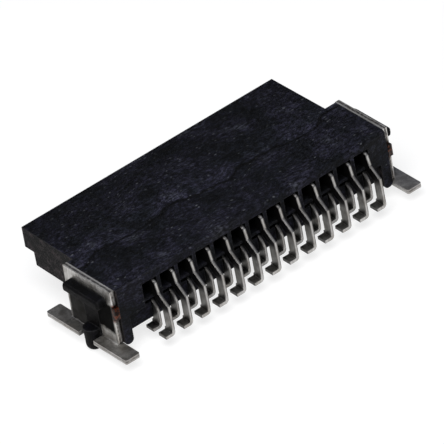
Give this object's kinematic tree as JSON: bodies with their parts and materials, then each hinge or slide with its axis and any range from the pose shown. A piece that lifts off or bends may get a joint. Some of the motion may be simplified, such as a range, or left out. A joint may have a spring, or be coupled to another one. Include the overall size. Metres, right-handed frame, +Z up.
{
  "type": "board-to-board connector",
  "caption": "Right-angle surface-mount board-to-board connector with two rows of contacts, a stepped nose, side hold-down brackets and locating pegs.",
  "frame": {"origin": "on the face of the circuit board, midway between the axes of the two locating pegs", "axes": "+Z up away from the board, +Y towards the mating face, +X along the rows of contacts"},
  "size_m": [0.0214, 0.0103, 0.0045],
  "materials": {
    "housing": "moulded, slightly grained",
    "contact": "tin-plated, sheared edges",
    "bracket": "tin-plated, sheared edges"
  },
  "bodies": {
    "root": {"housing": "housing", "contact_upper_01": "contact", "contact_upper_02": "contact", "contact_upper_03": "contact", "contact_upper_04": "contact", "contact_upper_05": "contact", "contact_upper_06": "contact", "contact_upper_07": "contact", "contact_upper_08": "contact", "contact_upper_09": "contact", "contact_upper_10": "contact", "contact_upper_11": "contact", "contact_upper_12": "contact", "contact_upper_13": "contact", "contact_lower_01": "contact", "contact_lower_02": "contact", "contact_lower_03": "contact", "contact_lower_04": "contact", "contact_lower_05": "contact", "contact_lower_06": "contact", "contact_lower_07": "contact", "contact_lower_08": "contact", "contact_lower_09": "contact", "contact_lower_10": "contact", "contact_lower_11": "contact", "contact_lower_12": "contact", "contact_lower_13": "contact", "hold_down_left": "bracket", "hold_down_right": "bracket"}
  },
  "joints": []
}
